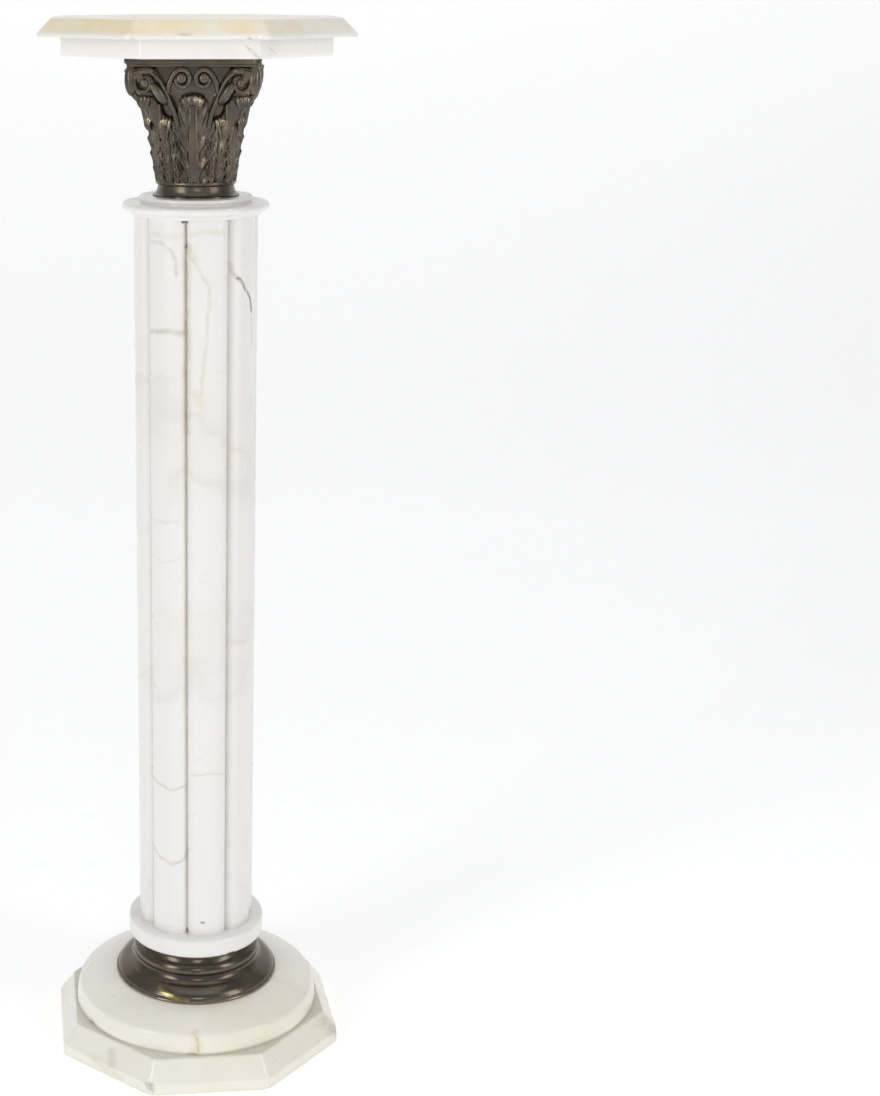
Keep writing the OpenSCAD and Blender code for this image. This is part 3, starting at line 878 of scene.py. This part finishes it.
# %% Bands and knobs
def band(clay, path, wide, thick, rubbed, side=(0, 1, 0), columns=12, square=0.75):
    """Sweeps a flattened oval along a path: half widths wide along side and thick across it."""
    n = len(path)
    forward = np.gradient(path, axis=0)
    forward /= np.linalg.norm(forward, axis=1)[:, None]
    side = np.array(side, float) - forward * (forward @ np.array(side, float))[:, None]
    side /= np.linalg.norm(side, axis=1)[:, None]
    up = np.cross(forward, side)
    a = np.linspace(0, 2 * np.pi, columns, endpoint=False)
    c, s = np.cos(a), np.sin(a)
    c, s = np.sign(c) * np.abs(c) ** square, np.sign(s) * np.abs(s) ** square
    wide = np.broadcast_to(wide, n)[:, None, None]
    thick = np.broadcast_to(thick, n)[:, None, None]
    grid = (path[:, None] + side[:, None] * wide * c[None, :, None]
            + up[:, None] * thick * s[None, :, None])
    rub = np.broadcast_to(rubbed, n)[:, None] * (0.35 + 0.65 * np.clip(s, 0, 1))[None, :]
    clay.skin(grid, rub)


def knob(clay, centre, size, rubbed, rows=9, columns=16):
    """A ball squashed to size = (x, y, z) half widths."""
    a = np.linspace(0.04, np.pi - 0.04, rows)[:, None]
    b = np.linspace(0, 2 * np.pi, columns, endpoint=False)[None, :]
    ball = np.stack([np.sin(a) * np.cos(b), np.sin(a) * np.sin(b), -np.cos(a) + 0 * b], -1)
    clay.skin(np.array(centre) + ball * np.array(size), rubbed)


print("bands and knobs ready")

# %% [markdown]
# ## Acanthus leaves
# A leaf hugs the bell, then turns over at the tip. Its spine is a smooth line through a few
# (radius, height) places. Across the spine the surface wraps round the bell. Ribs fan up and out
# from a double midrib, and the edge swells where each rib meets it, which gives the leaf its
# lobes. At the tip the back of the leaf comes into view, and its sides droop into a hood.

# %% One leaf
def leaf(clay, turn, spine, half, tip_half, bend, lobes, relief, droop, rows=76, half_columns=19,
         thick=2.4, stem=3.3):
    """A leaf at an angle (degrees from -Y), in mm over the capital's foot. bend is the share of
    its length at which it turns over; half and tip_half are its half widths below and above."""
    path = curve(spine, rows)
    r, z = path[:, 0], path[:, 1]
    t = np.linspace(0, 1, rows)
    dr, dz = np.gradient(r), np.gradient(z)
    length = np.hypot(dr, dz)
    normal_r, normal_z = (dz / length)[:, None], (-dr / length)[:, None]
    tt = t[:, None]
    curled = np.clip((tt - bend) / (1 - bend), 0, 1)
    u = np.linspace(-1, 1, 2 * half_columns + 1)
    off = np.abs(u)[None, :]
    size = half * (0.78 + 0.22 * np.sin(np.pi * np.clip(t / bend, 0, 1) * 0.62))
    size = size + (tip_half - size) * np.clip((t - 0.72 * bend) / (1 - 0.72 * bend), 0, 1) ** 0.8
    size *= np.sqrt(np.clip(1 - np.clip((t - 0.93) / 0.08, 0, 1) ** 2, 0.10, 1))
    phase = lobes * (tt - 0.38 * off) / bend
    swell = np.cos(2 * np.pi * phase)
    x = u[None, :] * size[:, None] * (1 + 0.10 * swell * (1 - 0.6 * curled))
    ribs = (0.5 + 0.5 * swell) ** 0.9 * np.clip((off - 0.22) / 0.15, 0, 1) * (1 - curled)
    fine = 0.5 + 0.5 * np.cos(2 * np.pi * 2 * phase)
    fine = fine * np.clip((off - 0.25) / 0.2, 0, 1) * (1 - curled)
    stem_w = stem * (1.1 - 0.35 * tt)
    near = np.abs(x)
    middle = np.maximum(np.exp(-((near - stem_w) / 2.0) ** 2), 0.50 * (near < stem_w))
    middle = middle * (1 - 0.5 * curled)
    ditch = 0.8 * np.exp(-((near - stem_w - 3.7) / 1.3) ** 2) + 0.9 * np.exp(-(x / 0.9) ** 2)
    high = relief * ribs + 0.42 * relief * fine + 2.7 * middle - 0.9 * ditch * (1 - curled)
    high = high + 1.3 * off ** 3 * (1 - curled) * np.clip(tt * 3, 0, 1)
    drop = droop * curled ** 0.75 * off ** 2
    flute = (0.5 + 0.5 * np.cos(2 * np.pi * (2.3 * off + 0.4 * tt))) * np.clip(curled * 3, 0, 1)
    wrap = x / np.maximum(r[:, None], 34) * (1 - 0.25 * curled)

    def placed(rise, depth):
        rr = r[:, None] + rise * normal_r - depth * normal_r
        zz = z[:, None] + rise * normal_z - depth * normal_z - drop
        angle = math.radians(turn) + wrap
        return np.stack([rr * np.sin(angle), -rr * np.cos(angle), zz], -1)

    front = placed(high, 0.0)
    back = placed(0.0, thick + 0.8 * flute)[:, ::-1]
    # the front's value is wear, raised on the ribs and midrib; it falls to 0 in the ditches and where
    # the tip turns over, so the bronze paints shade there, in the hollow under the hood
    rub = 0.16 + 0.34 * ribs + 0.42 * middle + 0.16 * fine - 0.3 * ditch
    rub = rub * (0.5 + 0.5 * tt) * (1 - curled)
    # the lip is wear along the top of the curl and a painted highlight along the front of the hood
    lip = np.exp(-((curled - 0.62) / 0.26) ** 2) * (0.62 + 0.38 * flute) * (1 - 0.35 * off)
    top = 0.20 * np.clip(curled * 4, 0, 1) + 0.78 * lip
    grid = np.concatenate([front, back], axis=1)
    clay.skin(grid, np.clip(np.concatenate([rub, (top + 0 * x)[:, ::-1]], axis=1), 0, 1))


print("leaf ready")

# %% The leaves of one face
# a leaf's spine is (radius, height over the capital's foot) from its root to its tip
FACE_SPINE = [(37.6, 15.5), (39.4, 28), (41.4, 44), (43.8, 58), (46.0, 70), (47.8, 80), (49.4, 88),
              (51.2, 94.4), (53.0, 97.6), (54.6, 97.4), (55.0, 95.0), (54.2, 92.8), (52.6, 91.8)]
CORNER_SPINE = [(37.6, 15.5), (39.6, 30), (42.2, 46), (45.8, 60), (49.8, 72), (53.8, 82), (57.8, 91),
                (61.4, 97.0), (64.4, 98.8), (66.4, 97.2), (66.4, 94.4), (65.0, 92.2)]
LOW_SPINE = [(38.4, 15.5), (40.4, 28), (42.4, 42), (44.6, 54), (46.4, 65), (48.0, 72.5), (49.8, 76.6),
             (51.6, 77.0), (52.4, 74.8), (51.8, 72.4), (50.2, 71.4)]


def face_leaves(clay):
    """The corner leaf, two low leaves in the gaps and the leaf in the middle of the face."""
    leaf(clay, 45, CORNER_SPINE, 15.0, 12.4, 0.80, lobes=3.4, relief=2.4, droop=4.2)
    for turn in (-31, 31):
        leaf(clay, turn, LOW_SPINE, 11.5, 7.6, 0.82, lobes=4.0, relief=2.0, droop=5.0, rows=54,
             half_columns=13, thick=2.0, stem=2.3)
    leaf(clay, 0, FACE_SPINE, 19.5, 11.4, 0.80, lobes=3.2, relief=2.5, droop=3.6)


print("leaves of a face ready")

# %% The scrolls of one face
# m is -1 for the left half of the face and 1 for the right; all is in mm over the capital's foot
def corner_scroll(clay, m):
    """A stem that rolls up under the corner of the abacus, with its eye and its backing."""
    stem = [(15, 45, 70), (18, 48, 84), (22.5, 51, 95), (27.5, 53.5, 106), (32.5, 55.5, 115),
            (38.5, 57, 121), (45.5, 58.4, 122.8), (51.8, 59.6, 120.6), (55.6, 60.2, 115.6),
            (55.2, 60.0, 109.6), (51.4, 59.4, 105.2), (46.2, 58.8, 104.4), (42.0, 58.4, 106.8),
            (40.2, 58.2, 111.0), (41.6, 58.2, 115.0)]
    path = curve([(m * x, -y, z - 1) for x, y, z in stem], 72)
    t = np.linspace(0, 1, 72)
    band(clay, path, 4.9 - 0.9 * t, 2.7 - 0.8 * t, 0.20 + 0.34 * (t > 0.36))
    knob(clay, (m * 46.4, -60.6, 111.4), (4.6, 3.6, 4.6), 0.42)
    knob(clay, (m * 47, -58.3, 122.6), (11.5, 6.0, 4.4), 0.16)
    # the backing's low value makes the bronze paint shade behind the scroll
    knob(clay, (m * 46, -56.5, 111.6), (10.0, 5.0, 10.0), 0.04)


def tongue(clay, m):
    """A plump tongue of leaf between the two scrolls."""
    path = curve([(m * 25.0, -50.5, 91), (m * 27.0, -53.0, 94.5), (m * 30.5, -56.5, 99.5),
                  (m * 35.0, -59.5, 105.5), (m * 39.5, -60.0, 109.5)], 24)
    fat = np.sin(np.pi * (0.13 + 0.66 * np.linspace(0, 1, 24) ** 0.8))
    band(clay, path, 5.2 * fat, 5.0 * fat, 0.42, side=(m * 0.6, 0.8, 0), columns=18, square=1.0)


def inner_scroll(clay, m):
    """A thinner stem that rolls up towards the middle of the face, with its eye and backing."""
    stem = [(23, 49, 92), (24.4, 51, 101), (23.2, 52.5, 110), (20.6, 53.5, 116.5),
            (16.6, 54.4, 122.6), (11.0, 54.8, 125.2), (5.2, 54.8, 122.8), (2.8, 54.6, 117.0),
            (5.0, 54.6, 111.4), (10.4, 54.6, 109.2), (15.2, 54.4, 111.8), (16.4, 54.2, 116.2)]
    path = curve([(m * x, -y, z - 1.5) for x, y, z in stem], 54)
    t = np.linspace(0, 1, 54)
    band(clay, path, 4.2, 3.0 - 0.7 * t, 0.18 + 0.26 * (t > 0.42))
    # the backing's low value makes the bronze paint shade behind the scroll
    knob(clay, (m * 11, -52.4, 115.6), (9.0, 4.4, 9.0), 0.06)
    knob(clay, (m * 10.8, -55.6, 115.6), (5.6, 3.4, 5.6), 0.30)


print("scrolls ready")

# %% One face of the capital
def face_of_capital():
    """Everything that repeats on each of the four faces, in mm over the capital's foot."""
    clay = Clay()
    face_leaves(clay)
    # the wall behind the scrolls, and the pier and boss under the corner; the low values of the wall
    # and the pier make the bronze paint shade on them
    wall = curve([(0, -39.5, 78), (0, -43.5, 92), (0, -47.5, 104), (0, -49.6, 115),
                  (0, -50.0, 127)], 20)
    band(clay, wall, np.linspace(31, 43, 20), 4.2, 0.05, side=(1, 0, 0), columns=24)
    pier = curve([(33, -33, 72), (37, -37, 86), (42, -42, 98), (48, -48, 106), (53.5, -53.5, 114),
                  (57, -57, 124)], 20)
    band(clay, pier, 10.5, 6.0, 0.10, side=(0.7, 0.7, 0), columns=16)
    knob(clay, (58.5, -58.5, 114.5), (6.6, 6.6, 15.5), 0.16, 13, 20)
    for m in (-1, 1):
        corner_scroll(clay, m)
        tongue(clay, m)
        inner_scroll(clay, m)
        # the shoulders' low value makes the bronze paint shade on them
        shoulder = curve([(m * 24, -47, 98), (m * 30, -49, 107), (m * 36, -51, 114),
                          (m * 42, -53, 122)], 12)
        band(clay, shoulder, 5.0, 7.0, 0.06)
    return clay.mesh("capital_face")


print("face ready")

# %% [markdown]
# ## Round the axis
# Geometry Nodes put copies of one face round the axis: a line of points with no length gives one
# point per copy, each copy turns by its own index, and Realize Instances makes them solid.

# %% The repeat tool
def round_axis_tool():
    """Copies of the incoming mesh, evenly turned about the axis and raised to the foot."""
    tree, size = node_tool("round_the_axis", [
        ("Copies", "Int"), ("Turn", "Float"), ("Foot", "Float"), ("Material", "Material")])
    still = tree.make("GeometryNodeMeshLine", {}, Count=size["Copies"], Offset=(0.0, 0.0, 0.0))
    index = tree.make("GeometryNodeInputIndex")
    angle = index / size["Copies"] * (2 * math.pi) + size["Turn"]
    spin = tree.make("ShaderNodeCombineXYZ", {}, 0.0, 0.0, angle)
    copies = tree.make("GeometryNodeInstanceOnPoints", {}, still, Instance=size["Geometry"],
                       Rotation=spin)
    lift = tree.make("ShaderNodeCombineXYZ", {}, 0.0, 0.0, size["Foot"])
    raised = tree.make("GeometryNodeTransform", {}, copies, Translation=lift)
    return node_result(tree, raised, size["Material"])


leaves = grown("capital_leaves", round_axis_tool(), face_of_capital(), {
    "Copies": 4, "Turn": math.radians(CAP_TURN), "Foot": CAP_FOOT * MM,
    "Material": cast_bronze}, crease=60)
print("leaves and scrolls:", len(leaves.data.polygons), "faces")

# %% [markdown]
# ## Bell and abacus
# The bell is turned. The abacus is a square plate with hollow sides and blunt horns: the plan is
# the smaller of the hollow arcs' reach and the horn's, found for each angle.

# %% Bell
bell_line = [(0, CAP_FOOT), (42.8, CAP_FOOT), (43.2, 929.4), (43.2, 930.5)]
bell_line += arc(43.2, 940.3, 5.2, 9.8, -90, -180, 10)[1:]
bell_line += arc(38.0, 942.9, 2.6, 2.6, -75, 80, 10)
bell_line += [(37.8, 946.0)] + [(37.8 + 12.4 * t ** 1.4, 947 + 104 * t) for t in np.linspace(0, 1, 12)]
bell_line += arc(50.4, 1053, 2.0, 2.0, -50, 80, 6) + [(47, 1057), (0, 1057)]
bell = slab_piece("capital_bell", finer(np.array(bell_line), 4.0), ROUND, ROUND_PLAN)
height = np.array([v.co.z for v in bell.data.vertices]) / MM
# under 946 mm the mouldings' value is wear; above, on the bell between and behind the leaves, the low
# value makes the bronze paint shade
bell_wear_and_shade = np.where(height < 946, 0.22 + 0.30 * np.exp(-((height - 943.5) / 2) ** 2)
                     + 0.25 * (height < 931), 0.04)
mark_rubbed(bell.data, bell_wear_and_shade)
bell.data.materials.append(cast_bronze)
print("bell:", len(bell.data.vertices), "points")

# %% Abacus
SIDE, HOLLOW, HORN = 66.5, 9.5, 9.0     # half its width, the sides' depth and the horns' cut
chord = SIDE - HORN / 2
arc_r = (chord ** 2 + HOLLOW ** 2) / (2 * HOLLOW)


def abacus_plan(angles, inset):
    """Distance from the axis to the abacus edge, inset by some mm."""
    out = []
    for a in angles:
        a = (a + math.pi / 4) % (math.pi / 2) - math.pi / 4
        centre = SIDE - HOLLOW + arc_r
        b = centre * math.cos(a)
        hollow = b - math.sqrt(max(0.0, b * b - centre ** 2 + (arc_r + inset) ** 2))
        horn = (SIDE * math.sqrt(2) - HORN / 2 * math.sqrt(2) - inset) / math.cos(math.pi / 4 - abs(a))
        out.append(min(hollow, horn))
    return np.array(out)


part = np.linspace(-1, 1, 22, endpoint=False)
crowded = 22.5 * np.sin(np.pi / 4 * part) / np.sin(np.pi / 4)
turns = np.radians(np.concatenate([45 * k + crowded + 22.5 for k in range(8)]))
# each level of the moulding is its inset, its height and its value of wear and painted light; the low
# values under the abacus give painted shade
levels = [(6.0, 1055.0, 0.0), (2.6, 1055.0, 0.08), (1.6, 1055.5, 0.2), (1.2, 1056.9, 0.12),
          (1.2, 1057.6, 0.12), (0.3, 1058.2, 0.22), (0.0, 1059.4, 0.16), (0.0, 1063.9, 0.14),
          (0.5, BED_FOOT, 0.12)]
turned = turns + math.radians(CAP_TURN)
rings = []
for inset, z, rub in levels:
    row = abacus_plan(turns, inset)
    rings.append(np.stack([row * np.sin(turned), -row * np.cos(turned), np.full(len(row), z)], -1))
clay = Clay()
clay.skin(np.stack(rings), np.array([[rub] for inset, z, rub in levels]))
abacus = finished("capital_abacus", clay.mesh("capital_abacus"), crease=35)
abacus.data.materials.append(cast_bronze)
print("abacus:", len(abacus.data.vertices), "points")

# %% [markdown]
# ## Every piece in its place
# A piece that stands for a CAD solid is listed with its name, and that solid is hidden; every piece
# rides on the one body, since the column has no moving parts. The bell and abacus go with the leaves,
# which stand for the capital.

# %% Ride and replace
places = ((plinth, "marble_base", "plinth"), (plinth_step, "marble_base", "plinth_disc"),
          (base_ring, "bronze", "base_ring"), (lower_collar, "marble", "lower_collar"),
          (shaft, "marble", "shaft"), (upper_collar, "marble", "upper_collar"),
          (leaves, "bronze", "capital"), (bell, "bronze", None), (abacus, "bronze", None),
          (bed_slab, "marble", "bed_slab"), (top_slab, "marble_top", "top_slab"))
for piece, slot, node in places:
    if node:
        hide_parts(node)
    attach(piece, "root")
    tall = [v.co.z for v in piece.data.vertices]
    print(piece.name, len(piece.data.polygons), "faces,", round(min(tall), 4), "to",
          round(max(tall), 4), "m up")
